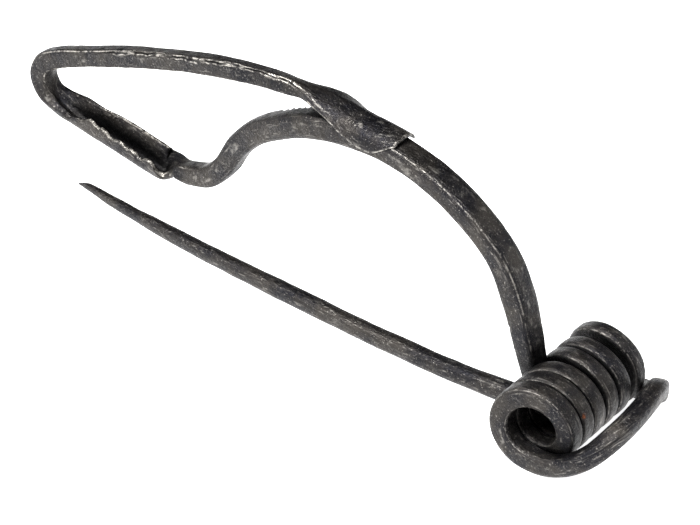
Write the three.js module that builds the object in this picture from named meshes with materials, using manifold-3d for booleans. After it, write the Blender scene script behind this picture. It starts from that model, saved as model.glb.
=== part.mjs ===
// A hand-forged iron bow brooch (fibula), bent from one rod.
//
// The rod is followed from the point of its pin: along the pin, round the far half of the spring,
// through the open chord, round the near half, up and over the bow, down into a dip, along the
// trough that catches the pin, round the foot, and back along a bar whose end is beaten into a
// sheet and wrapped over the bow. It is one forging, so it is one solid.
//
// Millimetres. X runs from the foot to the spring, Z is up, and the spring lies along Y. The
// brooch stands as it rests on a table, on its spring and its pin.
import * as THREE from "three";
import { mergeVertices } from "three/addons/utils/BufferGeometryUtils.js";
import Module from "manifold-3d";

// ---------------------------------------------------------------- driving dimensions

const ROD = 2.9; // thickness of the rod, and its width along the spring
const WOUND = 3.05; // thickness of the wound rod, out from the spring's axis
const COIL_RADIUS = 4.87; // from the spring's axis to the middle of the rod

// Each half of the spring starts at a place on the clock, seen from the near side, in turns from
// three o'clock. A turn steps sideways unevenly: quarters are how far it has stepped out at each
// quarter of it. Sprung is how much further out the last turn lies, and slip how far it has moved
// towards the foot. The near half is wound tight and hammered square, and the far half has sprung
// apart.
const NEAR_HALF = {
  start: 0.5, turns: 3.25, side: -1, pitch: 2.98, quarters: [0, 0.25, 0.9, 1.9],
  squareness: 0.45, sprung: 0, slip: 0,
};
const FAR_HALF = {
  start: 0.75, turns: 3, side: 1, pitch: 3.33, quarters: [0, -0.2, -0.6, 0.85],
  squareness: 0.55, sprung: 1.2, slip: 0.35,
};

const BOW_Y = -0.85; // the plane of the bow, the foot and the returned bar
const BOW_WIDTH = 4.6; // across the plane of the bow, where it is broadest
const BAR = 2.7; // width of the bar that returns from the foot
const SHEET = 1.3; // depth of the wrapped sheet, sunk into the bow that it grips
const REST_FLAT = 0.2; // depth of the flats that the brooch rests on
const RING = 16; // points round the rod
const SHEET_RING = 28; // points round the wrapped sheet
const COIL_STEPS = 16; // stations in a turn of the spring
const STEP = 2.2; // distance between stations elsewhere

// ---------------------------------------------------------------- sections

// A section is a plate with a width, across the plane of the bow, and a thickness. Squareness
// runs from 1, an ellipse, down to 0.4, a bar with barely rounded corners. A plate with a curl
// has its sides bent up: curl is by how many degrees, radius how tightly, and level how much of
// it stays level on each side of its middle. Lean sets the middle off, towards the near edge.
// Twist turns the whole section about the rod, in degrees.
const plate = { squareness: 0.5, curl: 0, radius: 1, level: 0, lean: 0, twist: 0 };
const section = (width, thickness = width, squareness = plate.squareness) =>
  ({ ...plate, width, thickness, squareness });

// A trough whose far wall and near wall are so high, counted along the sheet.
const trough = (farWall, nearWall, thickness, curl = 84, radius = 1.2) =>
  ({ ...section(farWall + nearWall, thickness), curl, radius, lean: (farWall - nearWall) / 2 });

// A sheet laid over the bow and bent down both of its sides.
const SADDLE_BEND = 2.05;
const saddle = (farSide, nearSide, thickness, curl, level, twist) => ({
  ...section(farSide + nearSide, thickness),
  curl,
  level,
  twist,
  radius: SADDLE_BEND,
  lean: (farSide - nearSide) / 2,
});

const mix = (a, b, t) =>
  Object.fromEntries(Object.keys(a).map((key) => [key, THREE.MathUtils.lerp(a[key], b[key], t)]));

const power = (value, exponent) => Math.sign(value) * Math.abs(value) ** exponent;

// A point of a plate's middle line, so far from its middle: level, then round the bend, then up.
function middleLine(distance, { curl, radius, level }) {
  const turn = THREE.MathUtils.degToRad(curl);
  const beyond = Math.max(Math.abs(distance) - level, 0);
  const angle = Math.min(beyond / radius, turn);
  const straight = beyond - radius * angle;
  const across = Math.min(Math.abs(distance), level) + radius * Math.sin(angle);
  return {
    across: Math.sign(distance) * (across + straight * Math.cos(angle)),
    up: radius * (1 - Math.cos(angle)) + straight * Math.sin(angle),
    angle: Math.sign(distance) * angle,
  };
}

// The section's outline, as distances towards the near side and inwards.
function outline(shape, ring) {
  const edge = THREE.MathUtils.lerp(shape.squareness, 1, Math.min(shape.curl / 40, 1));
  const twist = THREE.MathUtils.degToRad(shape.twist);
  const [cosTwist, sinTwist] = [Math.cos(twist), Math.sin(twist)];
  return Array.from({ length: ring }, (_, k) => {
    const angle = ((k + 0.5) * 2 * Math.PI) / ring;
    const distance = (power(Math.cos(angle), edge) * shape.width) / 2 - shape.lean;
    const middle = middleLine(distance, shape);
    const off = (power(Math.sin(angle), shape.squareness) * shape.thickness) / 2;
    const across = middle.across - off * Math.sin(middle.angle);
    const up = middle.up + off * Math.cos(middle.angle);
    return [across * cosTwist - up * sinTwist, across * sinTwist + up * cosTwist];
  });
}

// ---------------------------------------------------------------- stations along the rod

// A station has a place, a section and a guide: the direction that keeps the section from turning
// round the rod. Inwards is towards the spring's axis in the spring, up along the pin and the
// chord, and towards the inside of the bow and of the foot elsewhere.
const UP = new THREE.Vector3(0, 0, 1);
const FAR = new THREE.Vector3(0, 1, 0);
const NEAR = new THREE.Vector3(0, -1, 0);

// Stations along a smooth curve through knots of a place and a section. Lead and follow are the
// places, if any, that the curve comes from and heads for beyond its ends.
function stretch(knots, guide, lead = [], follow = []) {
  const places = [...lead, ...knots.map(([place]) => place), ...follow];
  const curve = new THREE.CatmullRomCurve3(places, false, "centripetal");
  const stations = [];
  for (let k = 0; k + 1 < knots.length; k += 1) {
    const steps = Math.max(1, Math.round(knots[k][0].distanceTo(knots[k + 1][0]) / STEP));
    for (let i = 0; i < steps; i += 1) {
      const t = i / steps;
      stations.push({
        place: curve.getPoint((lead.length + k + t) / (places.length - 1)),
        shape: mix(knots[k][1], knots[k + 1][1], t),
        guide,
      });
    }
  }
  stations.push({ place: knots.at(-1)[0].clone(), shape: knots.at(-1)[1], guide });
  return stations;
}

// How much of the way a place in a half of the spring is to its last turn, from 0 to 1.
const lastTurn = (turned, turns) => THREE.MathUtils.smoothstep(turned, turns - 1.4, turns - 0.6);

// How far a half of the spring has stepped out after so many turns.
function advance(turned, { turns, pitch, quarters, sprung }) {
  const at = (quarter) => {
    const whole = Math.floor(quarter / quarters.length);
    return pitch * whole + quarters[quarter - whole * quarters.length];
  };
  const from = Math.floor(turned * quarters.length + 1e-9);
  const t = turned * quarters.length - from;
  const [a, b, c, d] = [at(Math.max(from - 1, 0)), at(from), at(from + 1), at(from + 2)];
  const even = b + (t * (c - a + t * (2 * a - 5 * b + 4 * c - d + t * (3 * (b - c) + d - a)))) / 2;
  return even + sprung * lastTurn(turned, turns);
}

const wound = (half) => section(ROD, WOUND, half.squareness);

function coil(half, startY) {
  const steps = Math.round(half.turns * COIL_STEPS);
  return Array.from({ length: steps + 1 }, (_, i) => {
    const turned = (half.turns * i) / steps;
    const angle = 2 * Math.PI * (half.start + turned);
    const place = new THREE.Vector3(
      COIL_RADIUS * Math.cos(angle) - half.slip * lastTurn(turned, half.turns),
      startY + half.side * advance(turned, half),
      COIL_RADIUS * Math.sin(angle),
    );
    return { place, shape: wound(half), guide: half.side > 0 ? FAR : NEAR };
  });
}

// ---------------------------------------------------------------- the brooch, stretch by stretch

const flat = (x, z, y = BOW_Y) => new THREE.Vector3(x, y, z);
const pinY = BOW_Y - NEAR_HALF.quarters[1] + ROD + 0.12; // the pin lies beside the bow's turn
const floor = -COIL_RADIUS - WOUND / 2;

function pin() {
  const above = (x, y, thick, lift) =>
    [new THREE.Vector3(x, y, floor + lift + thick / 2), section(thick, thick, 0.7)];
  const onFloor = (x, y, thick) => above(x, y, thick, 0);
  return stretch([
    above(-98.0, 3.85, 0.3, REST_FLAT),
    above(-96.0, 3.75, 1.0, REST_FLAT / 2),
    onFloor(-90, 2.8, 1.55),
    onFloor(-79, 1.5, 2.1),
    onFloor(-64, 0.35, 2.5),
    onFloor(-48, -0.15, 2.7),
    onFloor(-33, -0.5, 2.75),
    onFloor(-18, -0.1, 2.85),
    onFloor(-7, 1.0, 3.0),
    [flat(0, -COIL_RADIUS, pinY), wound(FAR_HALF)],
  ], FAR).slice(0, -1);
}

// The open chord, from the end of the far half to the end of the near half.
function chord(farTurns, nearTurns) {
  const bar = section(ROD, ROD, 0.66);
  const at = (x, y, z) => [new THREE.Vector3(x, y, z), bar];
  const [from, to] = [farTurns.at(-1), nearTurns[0]];
  const knots = [
    [from.place, from.shape],
    at(4.6, from.place.y - 0.3, -4.3),
    at(8.4, 9.8, -1.4),
    at(10.3, 6.3, 2.4),
    at(11.5, -0.4, 3.0),
    at(11.2, -6.5, 2.0),
    at(8.6, -9.2, -1.4),
    at(4.6, to.place.y + 0.15, -4.3),
    [to.place, to.shape],
  ];
  return stretch(knots, UP, [farTurns.at(-3).place], [nearTurns[2].place]).slice(1, -1);
}

// The bow, from the spring to the bottom of the dip.
const dip = [flat(-69.4, 9.6), section(3.2, 3.15, 0.44)];

function bow() {
  return stretch([
    [flat(-COIL_RADIUS, 0), wound(NEAR_HALF)],
    [flat(-6.0, 3.4), section(3.6, 3.3, 0.5)],
    [flat(-7.3, 7.6), section(4.1, 3.5, 0.46)],
    [flat(-9.1, 12.8), section(4.3, 3.75, 0.42)],
    [flat(-11.6, 17.85), section(4.4, 3.4, 0.42)],
    [flat(-14.8, 21.2), section(BOW_WIDTH, 3.1, 0.42)],
    [flat(-18.45, 23.8), section(BOW_WIDTH, 3.1, 0.42)],
    [flat(-22.95, 26.2), section(BOW_WIDTH, 3.1, 0.42)],
    [flat(-28.2, 27.95), section(BOW_WIDTH, 3.25, 0.42)],
    [flat(-33.4, 28.75), section(4.5, 3.4, 0.42)],
    [flat(-38.6, 28.8), section(BOW_WIDTH, 3.65, 0.42)],
    [flat(-43.6, 28.1), section(4.7, 3.9, 0.42)],
    [flat(-48.0, 26.75), section(BOW_WIDTH, 3.95, 0.42)],
    [flat(-51.7, 24.95), section(4.3, 3.95, 0.42)],
    [flat(-55.9, 22.35), section(3.9, 3.85, 0.44)],
    [flat(-59.5, 18.6), section(3.4, 3.65, 0.46)],
    [flat(-62.45, 13.75), section(3.3, 3.4, 0.46)],
    [flat(-65.65, 10.7), section(3.2, 3.45, 0.46)],
    dip,
  ], NEAR).slice(0, -1);
}

// The trough, the turn of the foot and the first part of the returned bar.
function foot() {
  return stretch([
    dip,
    [flat(-72.4, 8.7), trough(2.6, 1.8, 2.0, 30)],
    [flat(-74.8, 6.95), trough(3.7, 2.9, 1.3, 62)],
    [flat(-77.4, 7.1), trough(5.2, 3.0, 1.1)],
    [flat(-81.2, 7.7), trough(5.3, 2.9, 1.1)],
    [flat(-84.0, 8.2), trough(5.3, 2.7, 1.1)],
    [flat(-86.2, 8.55), trough(5.2, 3.7, 1.1)],
    [flat(-89.4, 9.05), trough(4.9, 3.5, 1.1)],
    [flat(-92.8, 9.8), trough(4.5, 2.7, 1.2, 78, 1.35)],
    [flat(-96.4, 11.0), trough(3.6, 2.3, 1.8, 55, 1.5)],
    [flat(-99.0, 13.1), trough(2.3, 2.0, 2.7, 20, 1.6)],
    [flat(-100.1, 15.85), section(3.6, 3.5, 0.42)],
    [flat(-99.1, 18.4), section(3.2, 3.35, 0.42)],
    [flat(-96.2, 20.2), section(2.9, 3.15, 0.42)],
    [flat(-89.8, 22.6), section(BAR, 2.95, 0.42)],
    [flat(-83.5, 24.85), section(BAR, 2.95, 0.42)],
    [flat(-73.6, 27.85), section(BAR, 2.85, 0.42)],
    [flat(-66.0, 29.8), section(BAR, 2.8, 0.42)],
    [flat(-59.8, 31.0), { ...section(BAR, 2.75, 0.42), twist: -4 }],
  ], NEAR);
}

// The end of the bar, beaten out into a sheet and bent down both sides of the bow.
function clasp(start) {
  return stretch([
    [start.place, start.shape],
    [flat(-54.6, 31.7), { ...section(BAR, 2.65, 0.42), twist: -8 }],
    [flat(-50.0, 32.0), { ...section(2.9, 2.5, 0.42), twist: -16 }],
    [flat(-47.6, 32.05), saddle(2.1, 1.3, 2.0, 5, 0.6, -8)],
    [flat(-45.4, 31.95), saddle(3.1, 1.9, 1.5, 10, 0.7, 4)],
    [flat(-43.0, 31.7), saddle(3.8, 2.4, SHEET, 20, 0.8, 10)],
    [flat(-40.8, 31.35), saddle(4.2, 3.0, SHEET, 34, 0.8, 12)],
    [flat(-38.6, 31.1), saddle(4.3, 3.7, SHEET, 50, 0.8, 10)],
    [flat(-36.4, 30.95), saddle(4.1, 4.3, SHEET, 64, 0.8, 6)],
    [flat(-34.4, 30.8), saddle(3.9, 4.5, SHEET, 70, 0.8, 7)],
    [flat(-32.8, 30.6), saddle(3.7, 4.1, SHEET, 68, 0.8, 7)],
    [flat(-31.5, 30.45), saddle(3.6, 3.0, SHEET, 62, 0.8, 7)],
    [flat(-30.1, 30.25), saddle(3.5, 1.8, SHEET, 58, 0.8, 7)],
  ], NEAR);
}

// ---------------------------------------------------------------- from stations to a solid

// Joins the outlines of the stations into one skin. Across is the guide made square to the rod,
// and inwards is square to both.
function loft(stations, ring = RING) {
  const positions = [];
  const triangles = [];
  stations.forEach(({ place, shape, guide }, i) => {
    const before = stations[Math.max(i - 1, 0)].place;
    const after = stations[Math.min(i + 1, stations.length - 1)].place;
    const along = after.clone().sub(before).normalize();
    const inwards = guide === UP
      ? UP.clone().addScaledVector(along, -UP.dot(along)).normalize()
      : new THREE.Vector3().crossVectors(along, guide).normalize();
    const across = new THREE.Vector3().crossVectors(inwards, along);
    for (const [side, up] of outline(shape, ring)) {
      const point = place.clone().addScaledVector(across, side).addScaledVector(inwards, up);
      positions.push(point.x, point.y, point.z);
    }
  });
  const corner = (i, k) => i * ring + (k % ring);
  for (let i = 0; i + 1 < stations.length; i += 1) {
    for (let k = 0; k < ring; k += 1) {
      triangles.push(corner(i, k), corner(i, k + 1), corner(i + 1, k + 1));
      triangles.push(corner(i, k), corner(i + 1, k + 1), corner(i + 1, k));
    }
  }
  const last = stations.length - 1;
  for (let k = 0; k + 1 < ring / 2; k += 1) {
    const [a, b, c, d] = [k, k + 1, ring - 2 - k, ring - 1 - k];
    triangles.push(corner(0, a), corner(0, c), corner(0, b));
    triangles.push(corner(0, a), corner(0, d), corner(0, c));
    triangles.push(corner(last, a), corner(last, b), corner(last, c));
    triangles.push(corner(last, a), corner(last, c), corner(last, d));
  }
  const geometry = new THREE.BufferGeometry();
  geometry.setAttribute("position", new THREE.Float32BufferAttribute(positions, 3));
  geometry.setIndex(triangles);
  return geometry;
}

const wasm = await Module();
wasm.setup();

function toSolid(geometry) {
  const bare = geometry.clone();
  bare.deleteAttribute("normal");
  bare.deleteAttribute("uv");
  const merged = mergeVertices(bare, 1e-4);
  return new wasm.Manifold(new wasm.Mesh({
    numProp: 3,
    vertProperties: merged.attributes.position.array,
    triVerts: Uint32Array.from(merged.index.array),
  }));
}

function toGeometry(solid) {
  const mesh = solid.getMesh();
  const geometry = new THREE.BufferGeometry();
  geometry.setAttribute("position", new THREE.Float32BufferAttribute(mesh.vertProperties, 3));
  geometry.setIndex(Array.from(mesh.triVerts));
  return geometry;
}

// The slab under the brooch, which takes the flats off the spring and the pin.
function slab() {
  const depth = 10;
  const box = new THREE.BoxGeometry(160, 60, depth);
  box.translate(-45, 0, floor + REST_FLAT - depth / 2);
  return box;
}

// ---------------------------------------------------------------- assembly

const far = coil(FAR_HALF, pinY);
const near = coil(NEAR_HALF, BOW_Y).reverse();
const footStations = foot();
const rod = [
  ...pin(),
  ...far,
  ...chord(far, near),
  ...near.slice(0, -1),
  ...bow(),
  ...footStations,
];

const forging = toSolid(loft(rod))
  .add(toSolid(loft(clasp(footStations.at(-1)), SHEET_RING)))
  .subtract(toSolid(slab()));

// The origin is under the middle of the brooch, on the surface that it rests on.
const body = toGeometry(forging);
body.computeBoundingBox();
const middle = body.boundingBox.getCenter(new THREE.Vector3());
body.translate(-middle.x, -middle.y, -body.boundingBox.min.z);

const iron = new THREE.MeshStandardMaterial({ color: "#2b2927", roughness: 0.55, metalness: 0.85 });
const brooch = new THREE.Mesh(body, iron);
brooch.name = "brooch";

const model = new THREE.Group();
model.add(brooch);

export default model;
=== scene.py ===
"""The looks of a hand-forged iron bow brooch, bent from one rod.

The rod is followed from the point of its pin: along the pin, round the far half of the spring,
through the open chord, round the near half, up and over the bow, down into a dip, along the
trough that catches the pin, round the foot, and back along a bar whose end is beaten into a
sheet and folded over the bow. Lengths are in millimetres, in the frame of the spring's own axis,
until the finished mesh is put in its place, in metres.
"""

from __future__ import annotations

import logging
import math
from dataclasses import dataclass, field, fields
from enum import Enum

import bpy
import numpy as np
from mathutils import Matrix, Vector

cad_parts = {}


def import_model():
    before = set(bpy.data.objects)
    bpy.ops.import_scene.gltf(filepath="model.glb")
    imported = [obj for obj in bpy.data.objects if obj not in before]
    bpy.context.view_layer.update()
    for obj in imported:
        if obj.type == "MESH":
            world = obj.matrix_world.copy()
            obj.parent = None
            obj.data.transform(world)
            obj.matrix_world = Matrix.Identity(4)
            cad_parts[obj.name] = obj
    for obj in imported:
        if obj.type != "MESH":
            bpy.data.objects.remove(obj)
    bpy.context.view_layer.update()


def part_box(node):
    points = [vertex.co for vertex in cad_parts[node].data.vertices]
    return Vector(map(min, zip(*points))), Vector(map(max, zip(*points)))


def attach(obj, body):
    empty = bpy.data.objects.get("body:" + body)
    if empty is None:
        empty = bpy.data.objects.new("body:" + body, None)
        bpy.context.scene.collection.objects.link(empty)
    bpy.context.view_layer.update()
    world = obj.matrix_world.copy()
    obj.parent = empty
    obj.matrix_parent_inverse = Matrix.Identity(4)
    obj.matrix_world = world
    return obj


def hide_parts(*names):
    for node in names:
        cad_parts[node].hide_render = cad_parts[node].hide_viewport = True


LOG = logging.getLogger("brooch")
NODE = "brooch"
MM = 0.001


def linear(hex_colour: str) -> tuple[float, float, float, float]:
    """Turns an sRGB hex colour into linear red, green and blue, and a full alpha."""
    parts = [int(hex_colour[i : i + 2], 16) / 255 for i in (1, 3, 5)]
    red, green, blue = (p / 12.92 if p <= 0.04045 else ((p + 0.055) / 1.055) ** 2.4 for p in parts)
    return red, green, blue, 1.0


def hump(distance: np.ndarray, width: float) -> np.ndarray:
    """A smooth bump: 1 where the distance is 0, and almost nothing at twice the width."""
    return np.exp(-((distance / width) ** 2))


def ramp(distance: np.ndarray, length: float) -> np.ndarray:
    """Rises evenly from 0 to 1 as the distance goes from 0 to a length."""
    return np.clip(distance / length, 0, 1)


def wave(x: np.ndarray, height: float, rate: float, shift: float = 0.0) -> np.ndarray:
    """A wave along the rod, which turns by so many radians a millimetre."""
    return height * np.sin(x * rate + shift)


def ring_angles(count: int) -> np.ndarray:
    """How far round the rod each point of a ring lies, in radians."""
    return (np.arange(count) + 0.5) * 2 * math.pi / count


# ---------------------------------------------------------------- sections and stations


@dataclass(frozen=True)
class Section:
    """A plate's section: flat, or with its sides bent up.

    Squareness runs from 1, an ellipse, to 0.3, a bar with crisp corners. Curl is how many degrees
    the sides turn up, radius how tightly, and level how much stays flat on each side of the
    middle. Lean sets the middle off towards the near edge. Crisp says how bright the corners are
    painted, partly as worn metal, partly as painted highlight.
    Twist turns the whole section round the rod, in degrees.
    """

    width: float
    thickness: float
    squareness: float = 0.5
    curl: float = 0.0
    radius: float = 1.0
    level: float = 0.0
    lean: float = 0.0
    crisp: float = 0.5
    twist: float = 0.0


SECTION_KEYS = [f.name for f in fields(Section)]


def trough(
    far: float,
    near: float,
    thickness: float,
    curl: float = 84,
    radius: float = 1.2,
    crisp: float = 0.7,
) -> Section:
    """A trough whose far and near walls are so broad, counted along the sheet."""
    lean = (far - near) / 2
    return Section(far + near, thickness, 0.45, curl, radius, 0.0, lean, crisp)


class Guide(Enum):
    """What keeps a section from turning round the rod."""

    FAR = (0.0, 1.0, 0.0)
    NEAR = (0.0, -1.0, 0.0)
    UP = (0.0, 0.0, 1.0)


Knot = tuple[float, float, float, Section]


@dataclass
class Stations:
    """Places along a rod, the way inwards at each, and a section at each."""

    places: np.ndarray
    inwards: np.ndarray
    shapes: np.ndarray

    def key(self, name: str) -> np.ndarray:
        """One size of the sections, at every station."""
        return self.shapes[:, SECTION_KEYS.index(name)]

    def part(self, start: int, stop: int | None) -> Stations:
        """The stations from start up to stop."""
        cut = slice(start, stop)
        return Stations(self.places[cut], self.inwards[cut], self.shapes[cut])


def directions(places: np.ndarray) -> np.ndarray:
    """Unit vectors along a row of places."""
    along = np.gradient(places, axis=0)
    return along / np.linalg.norm(along, axis=1, keepdims=True)


def inward_vectors(places: np.ndarray, guide: Guide) -> np.ndarray:
    """The way inwards at each place, square to the rod."""
    along = directions(places)
    axis = np.array(guide.value)
    if guide is Guide.UP:
        inwards = axis - along * (along @ axis)[:, None]
    else:
        inwards = np.cross(along, axis)
    return inwards / np.linalg.norm(inwards, axis=1, keepdims=True)


def smooth_curve(
    points: np.ndarray,
    spacing: float,
    ends: tuple[np.ndarray, np.ndarray] | None = None,
    samples: int = 60,
) -> tuple[np.ndarray, np.ndarray]:
    """A smooth curve through points.

    Args:
        points: the points, one a row.
        spacing: distance between the places returned.
        ends: a place before the first point and one after the last, which the curve heads for.
        samples: how many places are worked out from one point to the next.

    Returns:
        Evenly spaced places, and each one's position among the points, as a fraction of them.
    """
    knots = np.concatenate([[0], np.cumsum(np.linalg.norm(np.diff(points, axis=0), axis=1) ** 0.5)])
    first, last = ends or (2 * points[0] - points[1], 2 * points[-1] - points[-2])
    padded = np.vstack([first, points, last])
    times = np.concatenate([[2 * knots[0] - knots[1]], knots, [2 * knots[-1] - knots[-2]]])
    fine, shares = [], []
    for k in range(len(points) - 1):
        p0, p1, p2, p3 = padded[k : k + 4]
        t0, t1, t2, t3 = times[k : k + 4]
        span = t2 - t1
        m1 = span * ((p1 - p0) / (t1 - t0) - (p2 - p0) / (t2 - t0) + (p2 - p1) / span)
        m2 = span * ((p2 - p1) / span - (p3 - p1) / (t3 - t1) + (p3 - p2) / (t3 - t2))
        t = np.linspace(0, 1, samples, endpoint=k == len(points) - 2)[:, None]
        h = (2 * t**3 - 3 * t**2 + 1) * p1 + (t**3 - 2 * t**2 + t) * m1
        h = h + (3 * t**2 - 2 * t**3) * p2 + (t**3 - t**2) * m2
        fine.append(h)
        shares.append(k + t[:, 0])
    curve, share = np.vstack(fine), np.concatenate(shares)
    length = np.concatenate([[0], np.cumsum(np.linalg.norm(np.diff(curve, axis=0), axis=1))])
    wanted = np.linspace(0, length[-1], max(2, round(length[-1] / spacing) + 1))
    places = np.stack([np.interp(wanted, length, curve[:, i]) for i in range(3)], axis=1)
    return places, np.interp(wanted, length, share)


def stretch(
    knots: list[Knot],
    guide: Guide,
    spacing: float,
    soften: float = 0.9,
    ends: tuple[np.ndarray, np.ndarray] | None = None,
) -> Stations:
    """Stations along a smooth curve through knots of a place and a section.

    Args:
        knots: x, y, z and the section at each.
        guide: what keeps the sections upright.
        spacing: distance between stations.
        soften: over what length a change of section is eased.
        ends: places that the curve comes from and heads for, beyond its ends.

    Returns:
        The stations, evenly spaced.
    """
    points = np.array([k[:3] for k in knots], float)
    table = np.array([[getattr(k[3], name) for name in SECTION_KEYS] for k in knots], float)
    places, share = smooth_curve(points, spacing, ends)
    index = np.arange(len(knots))
    shapes = np.stack([np.interp(share, index, column) for column in table.T], axis=1)
    reach = max(1, round(soften / spacing))
    kernel = np.hanning(2 * reach + 3)[1:-1]
    padded = np.vstack([shapes[:1]] * reach + [shapes] + [shapes[-1:]] * reach)
    eased = [np.convolve(column, kernel / kernel.sum(), "valid") for column in padded.T]
    return Stations(places, inward_vectors(places, guide), np.stack(eased, axis=1))


def joined(parts: list[Stations], same_place: float = 0.05) -> Stations:
    """Several rows of stations as one, in order, without a station twice in one place."""
    kept = []
    for part in parts:
        if kept and np.linalg.norm(kept[-1].places[-1] - part.places[0]) < same_place:
            part = part.part(1, None)
        kept.append(part)
    return Stations(
        np.vstack([p.places for p in kept]),
        np.vstack([p.inwards for p in kept]),
        np.vstack([p.shapes for p in kept]),
    )


# ---------------------------------------------------------------- from stations to a skin


@dataclass
class Skin:
    """Outlines at every station, joined into one closed skin.

    A section counts as a sheet from full curl on, and the edge of a sheet is rounder than a bar's
    corner. The two reaches are how far from the corner the brightening goes, which is partly worn
    metal, partly painted highlight.
    """

    stations: Stations
    ring: int
    full_curl: float = 40.0
    sheet_edge: float = 0.8
    bar_wear_and_highlight: float = 0.34
    sheet_wear_and_highlight: float = 0.5

    def middle_line(self, distance: np.ndarray) -> tuple[np.ndarray, np.ndarray, np.ndarray]:
        """Points of the plates' middle lines: level, then round the bend, then up.

        Args:
            distance: how far each point is from its plate's middle, towards the near side.

        Returns:
            Distances across and inwards, and the angle that the plate has turned there.
        """
        s = self.stations
        turn = np.radians(s.key("curl"))[:, None]
        radius, level = s.key("radius")[:, None], s.key("level")[:, None]
        beyond = np.maximum(np.abs(distance) - level, 0)
        angle = np.minimum(beyond / radius, turn)
        straight = beyond - radius * angle
        across = np.minimum(np.abs(distance), level) + radius * np.sin(angle)
        across = across + straight * np.cos(angle)
        inwards = radius * (1 - np.cos(angle)) + straight * np.sin(angle)
        return np.sign(distance) * across, inwards, np.sign(distance) * angle

    def outlines(self) -> tuple[np.ndarray, np.ndarray, np.ndarray]:
        """Each station's outline, as distances across and inwards, and how sharp it is there."""
        s = self.stations
        around = ring_angles(self.ring)
        squareness = s.key("squareness")[:, None]
        bent = np.minimum(s.key("curl") / self.full_curl, 1)[:, None]
        edge = squareness + (self.sheet_edge - squareness) * bent
        cos, sin = np.cos(around)[None, :], np.sin(around)[None, :]
        along_plate = np.sign(cos) * np.abs(cos) ** edge * s.key("width")[:, None] / 2
        off = np.sign(sin) * np.abs(sin) ** squareness * s.key("thickness")[:, None] / 2
        across, inwards, angle = self.middle_line(along_plate - s.key("lean")[:, None])
        across = across - off * np.sin(angle)
        inwards = inwards + off * np.cos(angle)
        twist = np.radians(s.key("twist"))[:, None]
        turned = across * np.cos(twist) - inwards * np.sin(twist)
        inwards = across * np.sin(twist) + inwards * np.cos(twist)
        # Corners painted bright: partly worn metal, partly painted highlight.
        corner_bar = hump(np.abs(sin) - np.abs(cos), self.bar_wear_and_highlight)
        corner_sheet = hump(sin, self.sheet_wear_and_highlight)
        sharp = corner_bar * (1 - bent) + corner_sheet * bent
        return turned, inwards, sharp * s.key("crisp")[:, None]

    def arrays(self) -> tuple[np.ndarray, list[tuple[int, ...]], np.ndarray]:
        """Points, faces and the wear at each point."""
        s, ring = self.stations, self.ring
        along = directions(s.places)
        inwards = s.inwards - along * np.sum(s.inwards * along, axis=1, keepdims=True)
        inwards /= np.linalg.norm(inwards, axis=1, keepdims=True)
        across = np.cross(inwards, along)
        side, up, wear_and_highlight = self.outlines()
        points = s.places[:, None, :] + across[:, None, :] * side[..., None]
        points = (points + inwards[:, None, :] * up[..., None]).reshape(-1, 3)
        faces = []
        for i in range(len(s.places) - 1):
            a, b = i * ring, (i + 1) * ring
            for k in range(ring):
                n = (k + 1) % ring
                faces.append((a + k, a + n, b + n, b + k))
        last = (len(s.places) - 1) * ring
        for k in range(ring // 2 - 1):
            quad = (k, k + 1, ring - 2 - k, ring - 1 - k)
            faces.append(tuple(reversed(quad)))
            faces.append(tuple(last + q for q in quad))
        return points, faces, wear_and_highlight.reshape(-1)


# ---------------------------------------------------------------- the forging, stretch by stretch


@dataclass
class Rod:
    """What the stretches of the forging share.

    Winding swells the rod a little, out from the spring's axis. The turns' corners are painted
    brighter than those of the spring's ends, partly as worn metal, partly as painted highlight.
    """

    rod: float = 2.9
    wound: float = 3.05
    turn_crisp: float = 0.6
    end_crisp: float = 0.52
    coil_radius: float = 4.87
    bow_y: float = -0.85
    spacing: float = 0.34

    @property
    def floor(self) -> float:
        """The height of the table, before the flats are taken off."""
        return -self.coil_radius - self.wound / 2


@dataclass
class HalfSpring:
    """One half of the spring.

    It starts at a place on the clock, in turns from three o'clock. Quarters are how far a turn
    has stepped out at each quarter of it, and sprung is how much further out the last one lies.
    Slip is how far the last one has moved towards the foot. The last turn parts from the others
    over a stretch that starts so many turns before the end.
    """

    start: float
    turns: float
    side: int
    pitch: float
    quarters: tuple[float, float, float, float]
    squareness: float
    sprung: float = 0.0
    slip: float = 0.0
    parting: float = 1.4
    parting_length: float = 0.8

    def step(self, turned: np.ndarray) -> np.ndarray:
        """How far the half has stepped out after so many turns."""
        quarter = np.floor(turned * 4 + 1e-9).astype(int)
        t = turned * 4 - quarter
        table = np.array(self.quarters)

        def at(q: np.ndarray) -> np.ndarray:
            """The step out at a whole quarter."""
            return self.pitch * (q // 4) + table[q % 4]

        a, b, c, d = at(np.maximum(quarter - 1, 0)), at(quarter), at(quarter + 1), at(quarter + 2)
        even = b + t * (c - a + t * (2 * a - 5 * b + 4 * c - d + t * (3 * (b - c) + d - a))) / 2
        return even + self.sprung * self.last_turn(turned)

    def last_turn(self, turned: np.ndarray) -> np.ndarray:
        """How much of the way a place after so many turns is to the last one, from 0 to 1."""
        late = ramp(turned - self.turns + self.parting, self.parting_length)
        return late * late * (3 - 2 * late)

    def stations(self, rod: Rod, start_y: float) -> Stations:
        """The half's stations, from its start outwards."""
        length = self.turns * 2 * math.pi * rod.coil_radius
        turned = np.linspace(0, self.turns, round(length / rod.spacing) + 1)
        angle = 2 * math.pi * (self.start + turned)
        x = rod.coil_radius * np.cos(angle) - self.slip * self.last_turn(turned)
        z = rod.coil_radius * np.sin(angle)
        places = np.stack([x, start_y + self.side * self.step(turned), z], axis=1)
        guide = Guide.FAR if self.side > 0 else Guide.NEAR
        shape = Section(rod.rod, rod.wound, self.squareness, crisp=rod.turn_crisp)
        row = np.array([getattr(shape, name) for name in SECTION_KEYS])
        return Stations(places, inward_vectors(places, guide), np.tile(row, (len(places), 1)))


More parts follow.
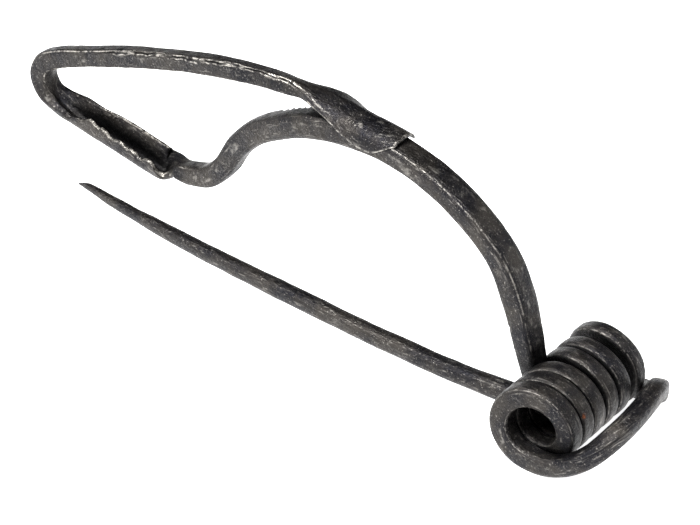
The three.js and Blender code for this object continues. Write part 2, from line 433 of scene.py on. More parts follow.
@dataclass(frozen=True)
class Catch:
    """How the walls of the trough end: the near one torn, the far one run out into the dip.

    Places are along x, and each length is how far a change takes from its place on.
    """

    highest: float = 16.0
    torn_from: float = -97.0
    torn_from_length: float = 3.0
    torn_to: float = -74.5
    torn_to_length: float = 0.6
    cut_from: float = -74.7
    cut_from_length: float = 0.5
    cut_to: float = -71.5
    cut_to_length: float = 1.5
    cut_depth: float = 1.5
    run_out: float = -74.0
    run_out_length: float = 1.7
    run_out_height: float = 1.15

    def shaped(self, stations: Stations) -> Stations:
        """The stations with their walls torn, cut off and run out."""
        x, z = stations.places[:, 0], stations.places[:, 2]
        catch = z < self.highest
        torn = ramp(x - self.torn_from, self.torn_from_length) * catch
        torn = torn * ramp(self.torn_to - x, self.torn_to_length)
        ragged = wave(x, 0.32, 0.9, 0.5) + 0.2 * np.tanh(wave(x, 3, 2.1, 1)) + wave(x, 0.08, 7.3, 2)
        cut = ramp(x - self.cut_from, self.cut_from_length) * catch
        cut = cut * ramp(self.cut_to - x, self.cut_to_length)
        near = torn * ragged - self.cut_depth * cut
        far = self.run_out_height * catch * hump(x - self.run_out, self.run_out_length)
        stations.shapes[:, SECTION_KEYS.index("width")] += far + near
        stations.shapes[:, SECTION_KEYS.index("lean")] += (far - near) / 2
        return stations


@dataclass(frozen=True)
class SmithsMarks:
    """Marks that have a place of their own on the forging.

    They are the lap that the hammer left along the returned bar, with a painted highlight along
    the rim on each side, five nicks in the bow's far corner, which is beaten flat and painted
    brighter beside them, a painted highlight along the edges and end of the thin sheet, and a
    fleck of rust on the spring. Places along the rod are values of x, and those round it are
    degrees. Calm is the share of the hammer work that the spring and the thin sheet show.
    """

    lap_from: float = -90.0
    lap_from_length: float = 8.0
    lap_to: float = -46.0
    lap_to_length: float = 4.0
    lap_lowest: float = 18.0
    lap_around: float = 318.0
    lap_width: float = 9.0
    rim_offset: float = 20.0
    rim_width: float = 8.0
    rim_bright: float = 0.9
    nicks: tuple[float, ...] = (-51.7, -50.7, -49.7, -48.7, -47.8)
    nick_width: float = 0.27
    nick_around: float = 123.0
    nick_reach: float = 17.0
    nick_slant: float = 0.02
    nick_depth: float = 4.0
    deepest: float = 2.4
    corner_around: float = 135.0
    bevel_around: float = 137.0
    bevel_width: float = 13.0
    bevel_from: float = -44.0
    bevel_bright: float = 0.75
    bow_lowest: float = 20.0
    sheet_from: float = -46.0
    edge_width: float = 9.0
    end_bright: float = 0.6
    fleck: tuple[float, float, float] = (5.77, -5.8, 2.57)
    fleck_size: float = 0.4472
    spring_reach: float = 9.0
    calm: float = 0.4

    def seams(self, stations: Stations, ring: int) -> tuple[np.ndarray, np.ndarray]:
        """The lap and the nicks.

        Args:
            stations: the whole rod.
            ring: how many points lie round it.

        Returns:
            How deep each point lies in a seam or nick, and how bright its rims, bevel and edges are
            painted; on the lap's rims and the sheet's edges this is painted highlight.
        """
        x, z = stations.places[:, 0][:, None], stations.places[:, 2][:, None]
        order = np.arange(len(x))[:, None]
        around = np.degrees(ring_angles(ring))[None, :]
        turn = order[np.argmin(stations.places[:, 0])]

        returned = (order > turn) & (z > self.lap_lowest)
        fade = ramp(x - self.lap_from, self.lap_from_length)
        fade = fade * ramp(self.lap_to - x, self.lap_to_length)
        middle = self.lap_around + wave(x, 7, 0.35) + wave(x, 4, 1.3, 1) + wave(x, 3, 3.1)
        broken = np.clip(0.75 + wave(x, 0.5, 0.9, 2) + wave(x, 0.3, 2.3), 0, 1)
        lap = hump(around - middle, self.lap_width) * fade * broken * returned
        # Painted highlight along each rim of the lap.
        off_lap = np.abs(around - middle) - self.rim_offset
        rims = hump(off_lap, self.rim_width) * fade * returned

        bow = (order < turn) & (z > self.bow_lowest)
        slanted = x + (around - self.corner_around) * self.nick_slant
        nicks = sum(hump(slanted - place, self.nick_width) for place in self.nicks)
        nicks = nicks * hump(around - self.nick_around, self.nick_reach) * bow
        bevel = hump(around - self.bevel_around, self.bevel_width) * bow * (x < self.bevel_from)

        sheet = (order > turn) & (x > self.sheet_from)
        # Painted highlight along the thin sheet's edges and its end.
        off_edge = around - 180 * np.round(around / 180)
        edges = hump(off_edge, self.edge_width) * sheet
        end = (order > order[-1] - 2) * sheet

        seam = np.clip(lap + self.nick_depth * nicks, 0, self.deepest)
        bright = np.maximum(self.rim_bright * rims, self.bevel_bright * bevel)
        bright = np.maximum(bright, np.maximum(edges, self.end_bright * end))
        return seam.reshape(-1), bright.reshape(-1)

    def hammered(self, stations: Stations, ring: int) -> np.ndarray:
        """The share of the hammer work that each point shows."""
        coil = np.linalg.norm(stations.places[:, [0, 2]], axis=1) < self.spring_reach
        thin = stations.key("level") > 0
        return np.repeat(np.where(coil | thin, self.calm, 1.0), ring)

    def rust(self, points: np.ndarray) -> np.ndarray:
        """How rusty each point is."""
        return hump(np.linalg.norm(points - np.array(self.fleck), axis=1), self.fleck_size)

    @staticmethod
    def grain(
        stations: Stations, ring: int, drawn_out: float = 7.0, girth: float = 1.5
    ) -> np.ndarray:
        """Where each point lies along and round the rod, for a pattern drawn out along it."""
        steps = np.linalg.norm(np.diff(stations.places, axis=0), axis=1)
        along = np.concatenate([[0], np.cumsum(steps)])[:, None] / drawn_out
        around = ring_angles(ring)[None, :]
        flat = np.broadcast_arrays(along, girth * np.cos(around), girth * np.sin(around))
        return np.stack(flat, axis=-1)


@dataclass
class Forging:
    """The brooch, as one rod and the sheet at its end.

    Rest flat is how much is taken off below, where the brooch rests. Saddle bend is how tightly
    the sheet is bent over the bow. Run up is how many stations of each half of the spring the
    chord's bends follow on from.
    """

    rod: Rod = field(default_factory=Rod)
    near_half: HalfSpring = field(
        default_factory=lambda: HalfSpring(
            start=0.5,
            turns=3.25,
            side=-1,
            pitch=2.98,
            quarters=(0, 0.25, 0.9, 1.9),
            squareness=0.42,
        )
    )
    far_half: HalfSpring = field(
        default_factory=lambda: HalfSpring(
            start=0.75,
            turns=3.0,
            side=1,
            pitch=3.33,
            quarters=(0, -0.2, -0.6, 0.85),
            squareness=0.55,
            sprung=1.2,
            slip=0.35,
        )
    )
    catch: Catch = field(default_factory=Catch)
    marks: SmithsMarks = field(default_factory=SmithsMarks)
    ring: int = 60
    rest_flat: float = 0.2
    pin_gap: float = 0.12
    saddle_bend: float = 2.05
    run_up: int = 14

    @property
    def pin_y(self) -> float:
        """Where the pin meets the spring, beside the bow's first turn."""
        return self.rod.bow_y - self.near_half.quarters[1] + self.rod.rod + self.pin_gap

    def wound_section(self, half: HalfSpring) -> Section:
        """The rod's section in one half of the spring."""
        return Section(self.rod.rod, self.rod.wound, half.squareness, crisp=self.rod.end_crisp)

    def pin(self) -> Stations:
        """The pin, from its point to the spring."""
        floor = self.rod.floor

        def above(x: float, y: float, thick: float, lift: float = 0.0) -> Knot:
            """A knot whose underside is so high above the table."""
            return x, y, floor + lift + thick / 2, Section(thick, thick, 0.72, crisp=0.4)

        knots = [
            above(-98.0, 3.85, 0.16, self.rest_flat),
            above(-96.0, 3.75, 1.0, self.rest_flat / 2),
            above(-90, 2.8, 1.55),
            above(-79, 1.5, 2.1),
            above(-64, 0.35, 2.5),
            above(-48, -0.15, 2.7),
            above(-33, -0.5, 2.75),
            above(-18, -0.1, 2.85),
            above(-7, 1.0, 3.0),
            (0, self.pin_y, -self.rod.coil_radius, self.wound_section(self.far_half)),
        ]
        return stretch(knots, Guide.FAR, self.rod.spacing)

    def chord(self, far: Stations, near: Stations) -> Stations:
        """The open bar from the end of the far half to the end of the near half."""
        start, stop = far.places[-1], near.places[0]
        bar = Section(self.rod.rod, self.rod.rod, 0.66, crisp=0.35)
        knots = [
            (*start, self.wound_section(self.far_half)),
            (4.6, start[1] - 0.3, -4.3, bar),
            (8.4, 9.8, -1.4, bar),
            (10.3, 6.3, 2.4, bar),
            (11.5, -0.4, 3.0, bar),
            (11.2, -6.5, 2.0, bar),
            (8.6, -9.2, -1.4, bar),
            (4.6, stop[1] + 0.15, -4.3, bar),
            (*stop, self.wound_section(self.near_half)),
        ]
        ends = (far.places[-1 - self.run_up], near.places[self.run_up])
        return stretch(knots, Guide.UP, self.rod.spacing, 0.9, ends)

    def flat_knot(self, x: float, z: float, shape: Section) -> Knot:
        """A knot in the plane of the bow."""
        return x, self.rod.bow_y, z, shape

    def bow(self) -> Stations:
        """The bow, from the spring to the bottom of the dip."""
        at = self.flat_knot

        def strap(
            width: float, thickness: float, squareness: float = 0.4, crisp: float = 0.62
        ) -> Section:
            """A broad flat bar, with corners that are crisp unless they have worn round."""
            return Section(width, thickness, squareness, crisp=crisp)

        knots = [
            at(-self.rod.coil_radius, 0, self.wound_section(self.near_half)),
            at(-6.0, 3.4, strap(3.6, 3.3, 0.5)),
            at(-7.3, 7.6, strap(4.1, 3.5, 0.46)),
            at(-9.1, 12.8, strap(4.3, 3.75)),
            at(-11.6, 17.85, strap(4.4, 3.4)),
            at(-14.8, 21.2, strap(4.6, 3.1)),
            at(-18.45, 23.8, strap(4.6, 3.1)),
            at(-22.95, 26.2, strap(4.6, 3.1)),
            at(-28.2, 27.95, strap(4.6, 3.25)),
            at(-33.4, 28.75, strap(4.5, 3.4)),
            at(-38.6, 28.8, strap(4.6, 3.65)),
            at(-43.6, 28.1, strap(4.7, 3.9, 0.48, 0.3)),
            at(-48.0, 26.75, strap(4.6, 3.95, 0.55, 0.1)),
            at(-51.7, 24.95, strap(4.3, 3.95, 0.55, 0.1)),
            at(-55.9, 22.35, strap(3.9, 3.85, 0.52, 0.1)),
            at(-59.5, 18.6, strap(3.4, 3.65, 0.5, 0.2)),
            at(-62.45, 13.75, strap(3.3, 3.4, 0.48, 0.3)),
            at(-65.65, 10.7, strap(3.2, 3.45, 0.46, 0.3)),
            at(-69.4, 9.6, strap(3.2, 3.15, 0.44)),
        ]
        return stretch(knots, Guide.NEAR, self.rod.spacing)

    def foot(self) -> Stations:
        """The trough, the turn of the foot, the returned bar and the sheet at its end."""
        at = self.flat_knot

        def bar(width: float, thickness: float, twist: float = 0.0) -> Section:
            """A square bar with crisp corners."""
            return Section(width, thickness, 0.42, crisp=0.85, twist=twist)

        def fold(
            far: float, near: float, thin: float, curl: float, level: float, twist: float
        ) -> Section:
            """A sheet with so much on each side of its middle, bent down over the bow."""
            lean = (far - near) / 2
            return Section(far + near, thin, 0.55, curl, self.saddle_bend, level, lean, 1.0, twist)

        knots = [
            at(-69.4, 9.6, Section(3.2, 3.15, 0.44, crisp=0.9)),
            at(-72.4, 8.7, trough(2.6, 1.8, 2.0, 30)),
            at(-74.8, 6.95, trough(3.7, 2.9, 1.2, 62)),
            at(-77.4, 7.1, trough(5.2, 3.0, 0.95)),
            at(-81.2, 7.7, trough(5.3, 2.9, 0.9)),
            at(-84.0, 8.2, trough(5.3, 2.7, 0.9)),
            at(-86.2, 8.55, trough(5.2, 3.7, 0.9)),
            at(-89.4, 9.05, trough(4.9, 3.5, 0.95)),
            at(-92.8, 9.8, trough(4.5, 2.7, 1.15, 78, 1.35, 0.4)),
            at(-96.4, 11.0, trough(3.6, 2.3, 1.8, 55, 1.5, 0.15)),
            at(-99.0, 13.1, trough(2.3, 2.0, 2.7, 20, 1.6, 0.15)),
            at(-100.1, 15.85, bar(3.6, 3.5)),
            at(-99.1, 18.4, bar(3.2, 3.35)),
            at(-96.2, 20.2, bar(2.9, 3.15)),
            at(-89.8, 22.6, bar(2.7, 2.95)),
            at(-83.5, 24.85, bar(2.7, 2.95)),
            at(-73.6, 27.85, bar(2.7, 2.85)),
            at(-66.0, 29.8, bar(2.7, 2.8)),
            at(-59.8, 31.0, bar(2.7, 2.75, -4)),
            at(-54.6, 31.7, bar(2.7, 2.65, -8)),
            at(-50.0, 32.0, bar(2.9, 2.5, -16)),
            at(-47.6, 32.05, fold(2.1, 1.3, 2.0, 5, 0.6, -8)),
            at(-45.4, 31.95, fold(3.1, 1.9, 1.5, 10, 0.7, 4)),
            at(-43.0, 31.8, fold(3.8, 2.4, 1.05, 20, 0.8, 10)),
            at(-40.8, 31.6, fold(4.2, 3.0, 0.85, 34, 0.8, 12)),
            at(-38.6, 31.4, fold(4.3, 3.7, 0.75, 50, 0.8, 10)),
            at(-36.4, 31.25, fold(4.1, 4.3, 0.7, 64, 0.8, 6)),
            at(-34.4, 31.1, fold(3.9, 4.5, 0.65, 70, 0.8, 7)),
            at(-32.8, 30.95, fold(3.7, 4.1, 0.6, 68, 0.8, 7)),
            at(-31.5, 30.8, fold(3.6, 3.0, 0.55, 62, 0.8, 7)),
            at(-30.1, 30.65, fold(3.5, 1.8, 0.5, 58, 0.8, 7)),
        ]
        return self.catch.shaped(stretch(knots, Guide.NEAR, self.rod.spacing, 0.7))

    def stations(self) -> Stations:
        """The whole rod, from the point of the pin to the end of the sheet."""
        far = self.far_half.stations(self.rod, self.pin_y)
        near = self.near_half.stations(self.rod, self.rod.bow_y)
        back = slice(None, None, -1)
        near = Stations(near.places[back], -near.inwards[back], near.shapes[back])
        return joined([self.pin(), far, self.chord(far, near), near, self.bow(), self.foot()])

    def build(self, shift: Vector) -> bpy.types.Object:
        """Makes the mesh, in its place.

        Args:
            shift: from the spring's frame to the row's, in millimetres.

        Returns:
            The object, with what the marks say carried as attributes of its points.
        """
        stations = self.stations()
        points, faces, wear_and_highlight = Skin(stations, self.ring).arrays()
        seam, bright = self.marks.seams(stations, self.ring)
        places = (points + np.array(shift)) * MM
        places[:, 2] = np.maximum(places[:, 2], 0.0)
        mesh = bpy.data.meshes.new("brooch_forging")
        mesh.from_pydata(places.tolist(), [], faces)
        # Corners, rims and edges painted bright: partly worn metal, partly painted highlight.
        values = {
            "wear_and_highlight": np.maximum(wear_and_highlight, bright),
            "seam": seam,
            "hammered": self.marks.hammered(stations, self.ring),
            "fleck": self.marks.rust(points),
        }
        for name, value in values.items():
            attribute = mesh.attributes.new(name, "FLOAT", "POINT")
            attribute.data.foreach_set("value", value)
        grain = mesh.attributes.new("grain", "FLOAT_VECTOR", "POINT")
        grain.data.foreach_set("vector", self.marks.grain(stations, self.ring).reshape(-1))
        mesh.shade_smooth()
        mesh.validate()
        made = bpy.data.objects.new("brooch_forging", mesh)
        bpy.context.scene.collection.objects.link(made)
        return made


# ---------------------------------------------------------------- hammer work


def add_node(
    tree: bpy.types.NodeTree, kind: str, links: dict | None = None, **settings: object
) -> bpy.types.Node:
    """Adds a node.

    Args:
        tree: the tree that it goes in.
        kind: the node's type.
        links: for each input, by name or number, a socket to link or a value to set.
        settings: the node's own settings.

    Returns:
        The node.
    """
    node = tree.nodes.new(kind)
    for name, value in settings.items():
        setattr(node, name, value)
    for name, value in (links or {}).items():
        socket = node.inputs[name]
        if isinstance(value, bpy.types.NodeSocket):
            tree.links.new(value, socket)
        else:
            socket.default_value = value
    return node


@dataclass
class HammerWork:
    """The marks of the hammer, and the pits that scale has left.

    Swell is how far the marks rise above the rod's true size. They are shallow on the spring,
    where the turns must stay clear of each other.
    """

    facet_size: float = 5.5
    facet_depth: float = 0.2
    ripple_size: float = 1.2
    ripple_depth: float = 0.08
    pit_size: float = 1.0
    pit_depth: float = 0.14
    pit_share: float = 0.14
    seam_depth: float = 0.32
    swell: float = 0.15
    seed: int = 11

    def inputs(self) -> dict[str, float]:
        """The numbers that the tree takes, by name, with lengths in metres."""
        return {
            "Facet Size": self.facet_size * MM,
            "Facet Depth": self.facet_depth * MM,
            "Ripple Size": self.ripple_size * MM,
            "Ripple Depth": self.ripple_depth * MM,
            "Pit Size": self.pit_size * MM,
            "Pit Depth": self.pit_depth * MM,
            "Pit Share": self.pit_share,
            "Seam Depth": self.seam_depth * MM,
            "Swell": self.swell * MM,
        }

    @staticmethod
    def attribute(tree: bpy.types.NodeTree, name: str) -> bpy.types.NodeSocket:
        """A number that the forging's points carry."""
        node = add_node(tree, "GeometryNodeInputNamedAttribute", {"Name": name}, data_type="FLOAT")
        return node.outputs[0]

    def tree(self, finish: bpy.types.Material) -> bpy.types.NodeTree:
        """The tree that marks a forging and gives it its finish."""
        tree = bpy.data.node_groups.new("hammer_work", "GeometryNodeTree")
        face = tree.interface
        face.new_socket("Geometry", in_out="INPUT", socket_type="NodeSocketGeometry")
        for label in self.inputs():
            face.new_socket(label, in_out="INPUT", socket_type="NodeSocketFloat")
        face.new_socket("Seed", in_out="INPUT", socket_type="NodeSocketInt")
        face.new_socket("Geometry", in_out="OUTPUT", socket_type="NodeSocketGeometry")
        given = add_node(tree, "NodeGroupInput").outputs
        place = add_node(tree, "GeometryNodeInputPosition").outputs[0]
        normal = add_node(tree, "GeometryNodeInputNormal").outputs[0]

        def math_node(operation: str, first: object, second: object = 0.0) -> bpy.types.NodeSocket:
            """The result of an operation on two numbers."""
            node = add_node(tree, "ShaderNodeMath", {0: first, 1: second}, operation=operation)
            return node.outputs[0]

        def noise(size: str, detail: float) -> bpy.types.NodeSocket:
            """Noise, from 0 to 1, whose humps are so far apart."""
            scale = math_node("DIVIDE", 1.0, given[size])
            links = {"Vector": place, "W": given["Seed"], "Scale": scale, "Detail": detail}
            node = add_node(tree, "ShaderNodeTexNoise", links, noise_dimensions="4D")
            return node.outputs[0]

        cells_scale = math_node("DIVIDE", 1.0, given["Facet Size"])
        cells = add_node(
            tree,
            "ShaderNodeTexVoronoi",
            {"Vector": place, "W": given["Seed"], "Scale": cells_scale, "Smoothness": 0.35},
            voronoi_dimensions="4D",
            feature="SMOOTH_F1",
        ).outputs["Distance"]
        facets = math_node("MULTIPLY", math_node("SUBTRACT", 1.0, cells), given["Facet Depth"])
        ripples = math_node("MULTIPLY", noise("Ripple Size", 2.0), given["Ripple Depth"])
        pit_scale = math_node("DIVIDE", 1.0, given["Pit Size"])
        pit = add_node(
            tree,
            "ShaderNodeTexVoronoi",
            {"Vector": place, "W": given["Seed"], "Scale": pit_scale},
            voronoi_dimensions="4D",
            feature="F1",
        )
        chosen = add_node(tree, "FunctionNodeSeparateColor", {0: pit.outputs["Color"]}).outputs[0]
        few = math_node("LESS_THAN", chosen, given["Pit Share"])
        bowl = add_node(
            tree,
            "ShaderNodeMapRange",
            {"Value": pit.outputs["Distance"], 1: 0.12, 2: 0.42, 3: 1.0, 4: 0.0},
            interpolation_type="SMOOTHSTEP",
        ).outputs[0]
        depth = math_node("MULTIPLY", math_node("MULTIPLY", bowl, few), given["Pit Depth"])
        marks = math_node("SUBTRACT", math_node("ADD", facets, ripples), given["Swell"])
        marks = math_node("MULTIPLY", marks, self.attribute(tree, "hammered"))
        lap = math_node("MULTIPLY", self.attribute(tree, "seam"), given["Seam Depth"])
        total = math_node("ADD", math_node("ADD", marks, lap), depth)
        inwards = add_node(
            tree,
            "ShaderNodeVectorMath",
            {0: normal, "Scale": math_node("MULTIPLY", total, -1.0)},
            operation="SCALE",
        ).outputs[0]
        # The depth is kept as hollow, which the finish paints dark, partly as sooty pits and seams,
        # partly as painted shade.
        stored = add_node(
            tree,
            "GeometryNodeStoreNamedAttribute",
            {"Geometry": given["Geometry"], "Name": "hollow", "Value": total},
            data_type="FLOAT",
        ).outputs[0]
        moved = add_node(
            tree, "GeometryNodeSetPosition", {"Geometry": stored, "Offset": inwards}
        ).outputs[0]
        real = add_node(tree, "GeometryNodeRealizeInstances", {0: moved}).outputs[0]
        coated = add_node(
            tree, "GeometryNodeSetMaterial", {"Geometry": real, "Material": finish}
        ).outputs[0]
        add_node(tree, "NodeGroupOutput", {0: coated})
        return tree

    def apply(self, made: bpy.types.Object, finish: bpy.types.Material) -> None:
        """Marks an object and makes the result its plain mesh."""
        tree = self.tree(finish)
        modifier = made.modifiers.new("hammer_work", "NODES")
        modifier.node_group = tree
        values = self.inputs() | {"Seed": self.seed}
        for item in tree.interface.items_tree:
            if item.in_out == "INPUT" and item.name in values:
                modifier[item.identifier] = values[item.name]
        shown = bpy.context.evaluated_depsgraph_get()
        plain = bpy.data.meshes.new_from_object(made.evaluated_get(shown), depsgraph=shown)
        made.modifiers.remove(modifier)
        made.data = plain
        plain.shade_smooth()


# ---------------------------------------------------------------- finish


@dataclass(frozen=True)
class BlackenedIron:
    """Wrought iron, blackened in oil after forging and rubbed back with wax.

    The black is a skin of iron oxide: dark, a little blue where it is thick, browner where the
    wax has been worn through. The corners, the lap's rims and the sheet's edges are painted
    brighter than the faces, partly as worn metal, partly as painted highlight.

    Sizes are how far apart a pattern's humps are, in millimetres, and crevice is how near the
    iron must be to itself to be painted darker, as painted shade. The shares say how much each
    pattern shows.
    """

    black: str = "#19191d"
    brown: str = "#363330"
    # Pale grey, for bare streaks and specks, and for corners painted bright, partly worn metal,
    # partly painted highlight.
    bright: str = "#c6c1b9"
    # Near black, for painted shade where the iron lies close to itself, and for pits and seams,
    # partly sooty, partly painted shade.
    soot_and_shade: str = "#0b0b0c"
    rust: str = "#6f3d22"
    dull: float = 0.4
    polished: float = 0.28
    uneven: float = 0.12
    cloud: float = 5.0
    mottle: float = 1.3
    mottle_share: float = 0.25
    streak: float = 0.32
    streak_share: float = 0.28
    speckle: float = 0.3
    speckle_share: float = 0.3
    rubbed_and_highlight_share: float = 0.8
    patch: float = 0.9
    hollow_share: float = 0.85
    crevice: float = 5.0
    crevice_share: float = 0.97
    pores: float = 0.4
    bump: float = 0.8
    bump_depth: float = 0.2

    def material(self) -> bpy.types.Material:
        """The finish, on Object coordinates and the forging's own attributes."""
        made = bpy.data.materials.new("blackened_iron")
        made.use_nodes = True
        tree = made.node_tree
        tree.nodes.clear()
        place = add_node(tree, "ShaderNodeTexCoord").outputs["Object"]

        def carried(name: str, output: str = "Fac") -> bpy.types.NodeSocket:
            """What the forging's points carry under a name."""
            node = add_node(
                tree, "ShaderNodeAttribute", attribute_name=name, attribute_type="GEOMETRY"
            )
            return node.outputs[output]

        def noise(
            size: float, detail: float, rough: float = 0.6, vector: object = place, unit: float = MM
        ) -> bpy.types.NodeSocket:
            """Noise, from 0 to 1, whose humps are so many millimetres apart."""
            links = {
                "Vector": vector,
                "Scale": 1 / (size * unit),
                "Detail": detail,
                "Roughness": rough,
            }
            return add_node(tree, "ShaderNodeTexNoise", links).outputs[0]

        def ranged(
            value: bpy.types.NodeSocket, low: float, high: float, ends: tuple = (0.0, 1.0)
        ) -> bpy.types.NodeSocket:
            """One end below low, the other above high, and smooth between."""
            node = add_node(
                tree,
                "ShaderNodeMapRange",
                {"Value": value, 1: low, 2: high, 3: ends[0], 4: ends[1]},
                interpolation_type="SMOOTHSTEP",
            )
            return node.outputs[0]

        def mixed(share: object, first: object, second: object) -> bpy.types.NodeSocket:
            """Two colours mixed by a share."""
            links = {0: share, 6: first, 7: second}
            return add_node(tree, "ShaderNodeMix", links, data_type="RGBA").outputs[2]

        def worked(operation: str, first: object, second: object) -> bpy.types.NodeSocket:
            """The result of an operation on two numbers."""
            node = add_node(tree, "ShaderNodeMath", {0: first, 1: second}, operation=operation)
            return node.outputs[0]

        grain = carried("grain", "Vector")
        cloud = ranged(noise(self.cloud, 3.0), 0.35, 0.7)
        mottle = ranged(noise(self.mottle, 4.0, 0.65), 0.42, 0.66)
        streak = ranged(noise(self.streak, 3.0, 0.6, grain, 1.0), 0.56, 0.78)
        speckle = ranged(noise(self.speckle, 2.0, 0.7), 0.58, 0.76)
        broken = ranged(noise(self.patch, 4.0, 0.7), 0.4, 0.6)
        # Corners, lap rims and sheet edges painted bright: partly worn metal, partly painted
        # highlight.
        rubbed_and_highlight = worked("MULTIPLY", ranged(carried("wear_and_highlight"), 0.4, 0.85), broken)
        base = mixed(cloud, linear(self.black), linear(self.brown))
        base = mixed(worked("MULTIPLY", mottle, self.mottle_share), base, linear(self.brown))
        base = mixed(worked("MULTIPLY", streak, self.streak_share), base, linear(self.bright))
        base = mixed(worked("MULTIPLY", speckle, self.speckle_share), base, linear(self.bright))
        base = mixed(worked("MULTIPLY", rubbed_and_highlight, self.rubbed_and_highlight_share), base, linear(self.bright))
        # Hammer dents, pits, the lap and the nicks painted dark: partly sooty, partly painted
        # shade.
        hollow = ranged(carried("hollow"), 0.06 * MM, 0.2 * MM)
        base = mixed(worked("MULTIPLY", hollow, self.hollow_share), base, linear(self.soot_and_shade))
        # Painted shade: the iron is darkened where it lies close to itself, in the spring's bore,
        # between its turns, in the trough and under the sheet.
        open_air = add_node(
            tree,
            "ShaderNodeAmbientOcclusion",
            {"Distance": self.crevice * MM},
            samples=8,
            only_local=True,
        ).outputs["AO"]
        crevice_shade = ranged(open_air, 0.48, 0.95, (self.crevice_share, 0.0))
        base = mixed(crevice_shade, base, linear(self.soot_and_shade))
        rust = ranged(worked("MULTIPLY", carried("fleck"), broken), 0.2, 0.7)
        base = mixed(rust, base, linear(self.rust))
        even = ranged(mottle, 0.0, 1.0, (self.dull, self.dull + self.uneven))
        rough = worked("SUBTRACT", even, worked("MULTIPLY", rubbed_and_highlight, self.dull - self.polished))
        relief = worked("ADD", noise(self.pores, 4.0, 0.7), noise(self.mottle, 3.0, 0.6))
        relief = worked("ADD", relief, noise(self.streak, 2.0, 0.6, grain, 1.0))
        bump = add_node(
            tree,
            "ShaderNodeBump",
            {"Height": relief, "Strength": self.bump, "Distance": self.bump_depth * MM},
        ).outputs[0]
        shader = add_node(
            tree,
            "ShaderNodeBsdfPrincipled",
            {"Base Color": base, "Metallic": 0.9, "Roughness": rough, "Normal": bump},
        ).outputs[0]
        add_node(tree, "ShaderNodeOutputMaterial", {0: shader})
        return made


# ---------------------------------------------------------------- studio


@dataclass(frozen=True)
class SoftLight:
    """A soft box: the way it stands, in degrees, how far off, how wide and how strong."""

    azimuth: float
    elevation: float
    distance: float
    size: float
    power: float


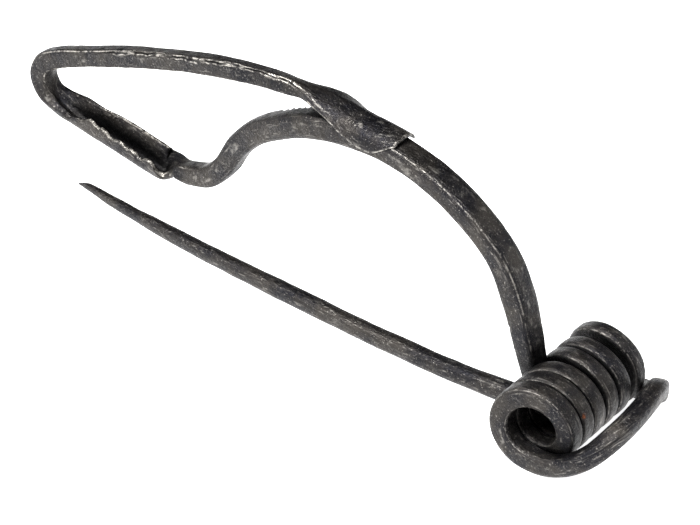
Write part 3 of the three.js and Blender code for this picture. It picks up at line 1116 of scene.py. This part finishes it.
@dataclass
class Studio:
    """A pale table, soft light and the camera.

    The camera's distance and aim are in millimetres, in the spring's frame. The rest is in metres,
    in the row's frame. The glow is the light that comes through the table's white paper.
    """

    azimuth: float = 36.57
    elevation: float = 34.07
    roll: float = 1.71
    distance: float = 342.7
    lens: float = 119.65
    aim: tuple[float, float, float] = (-38.57, -1.0, 6.40)
    paper: str = "#d8d8d8"
    light_through: str = "#ffffff"
    glow: float = 0.97
    table_width: float = 4.0
    table_drop: float = 0.00002
    sky: str = "#8e949c"
    sky_strength: float = 0.03
    lights: tuple[SoftLight, ...] = (
        SoftLight(azimuth=-20, elevation=60, distance=0.6, size=0.36, power=12.0),
        SoftLight(azimuth=120, elevation=40, distance=0.6, size=0.3, power=1.8),
    )
    lit_middle: tuple[float, float, float] = (0.0, 0.0, 0.015)

    @staticmethod
    def back(azimuth: float, elevation: float) -> Vector:
        """The way from the object to a camera or light at these angles."""
        a, e = math.radians(azimuth), math.radians(elevation)
        return Vector((math.sin(a) * math.cos(e), -math.cos(a) * math.cos(e), math.sin(e)))

    def place_camera(self, shift: Vector) -> None:
        """Makes the camera and turns it towards its aim."""
        back = self.back(self.azimuth, self.elevation)
        a, r = math.radians(self.azimuth), math.radians(self.roll)
        level = Vector((math.cos(a), math.sin(a), 0))
        above = back.cross(level)
        right = level * math.cos(r) + above * math.sin(r)
        up = back.cross(right)
        data = bpy.data.cameras.new("camera")
        data.lens = self.lens
        data.sensor_width = 36
        data.clip_start = 0.01
        camera = bpy.data.objects.new("camera", data)
        turn = Matrix((right, up, back)).transposed().to_4x4()
        eye = (Vector(self.aim) + shift + back * self.distance) * MM
        camera.matrix_world = Matrix.Translation(eye) @ turn
        bpy.context.scene.collection.objects.link(camera)
        bpy.context.scene.camera = camera

    def place_lights(self) -> None:
        """Makes the soft boxes, aimed at the middle of the brooch, and the dim room."""
        middle = Vector(self.lit_middle)
        for number, light in enumerate(self.lights):
            data = bpy.data.lights.new(f"soft_box_{number}", "AREA")
            data.shape = "DISK"
            data.size = light.size
            data.energy = light.power
            box = bpy.data.objects.new(f"soft_box_{number}", data)
            away = self.back(light.azimuth, light.elevation)
            turn = away.to_track_quat("Z", "Y").to_matrix().to_4x4()
            box.matrix_world = Matrix.Translation(middle + away * light.distance) @ turn
            bpy.context.scene.collection.objects.link(box)
        world = bpy.data.worlds.new("dim_room")
        world.use_nodes = True
        room = world.node_tree.nodes["Background"]
        room.inputs["Color"].default_value = linear(self.sky)
        room.inputs["Strength"].default_value = self.sky_strength
        bpy.context.scene.world = world

    def place_table(self) -> bpy.types.Object:
        """Makes the table, a plain white sheet lit from below."""
        place = (0, 0, -self.table_drop)
        bpy.ops.mesh.primitive_plane_add(size=self.table_width, location=place)
        table = bpy.context.object
        table.name = "table"
        finish = bpy.data.materials.new("white_sheet")
        finish.use_nodes = True
        shader = finish.node_tree.nodes["Principled BSDF"]
        shader.inputs["Base Color"].default_value = linear(self.paper)
        shader.inputs["Roughness"].default_value = 0.9
        shader.inputs["Emission Color"].default_value = linear(self.light_through)
        shader.inputs["Emission Strength"].default_value = self.glow
        table.data.materials.append(finish)
        return table

    def build(self, shift: Vector) -> None:
        """Makes the whole studio."""
        self.place_camera(shift)
        self.place_lights()
        self.place_table()
        bpy.context.scene.view_settings.view_transform = "Standard"


# ---------------------------------------------------------------- all of it


@dataclass
class Solid:
    """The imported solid's place in the frame of the spring's axis."""

    low: tuple[float, float, float] = (-101.835, -11.477, -6.195)

    def shift(self) -> Vector:
        """From the spring's frame to the row's, in millimetres."""
        corner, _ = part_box(NODE)
        return corner / MM - Vector(self.low)


def main() -> None:
    """Builds the brooch and the studio."""
    logging.basicConfig(level=logging.INFO, format="%(name)s: %(message)s")
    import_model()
    shift = Solid().shift()
    made = Forging().build(shift)
    HammerWork().apply(made, BlackenedIron().material())
    LOG.info("forging: %d faces", len(made.data.polygons))
    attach(made, "root")
    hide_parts(NODE)
    studio = Studio()
    studio.build(shift)
    LOG.info("studio: table, camera and %d soft boxes", len(studio.lights))


if __name__ == "__main__":
    main()
